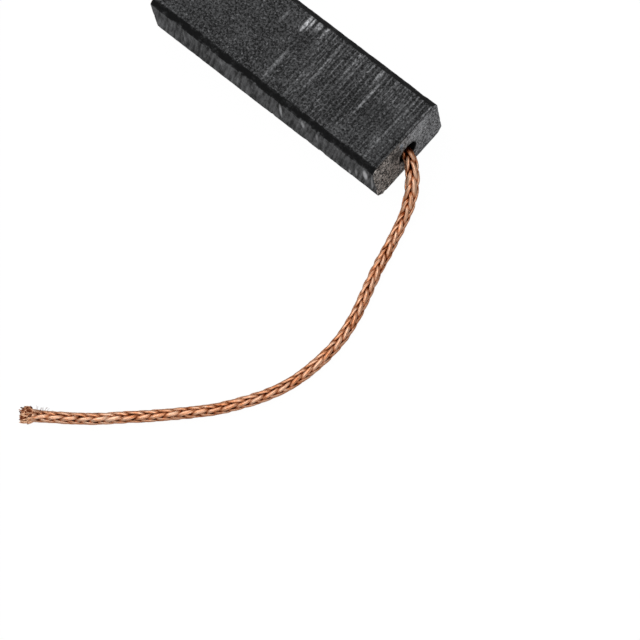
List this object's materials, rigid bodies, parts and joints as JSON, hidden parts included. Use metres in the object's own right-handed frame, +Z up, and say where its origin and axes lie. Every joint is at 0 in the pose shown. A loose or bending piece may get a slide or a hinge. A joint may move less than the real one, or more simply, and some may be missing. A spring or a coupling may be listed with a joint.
{
  "type": "carbon brush",
  "caption": "Rectangular graphite brush with chamfered long edges and a bare braided copper lead tamped into one end, for carrying current to a commutator or slip ring.",
  "frame": {"origin": "centre of the block's bottom broad face, on the surface that the brush lies on", "axes": "+X along the block from the running face to the lead's face, +Y across its width, +Z up through its thickness"},
  "size_m": [0.0465, 0.062, 0.008],
  "materials": {
    "carbon": "matte",
    "contact_powder": "matte",
    "copper_braid": "satin"
  },
  "bodies": {
    "root": {"carbon_block": "carbon", "tamping": "contact_powder", "shunt_lead": "copper_braid"}
  },
  "joints": []
}
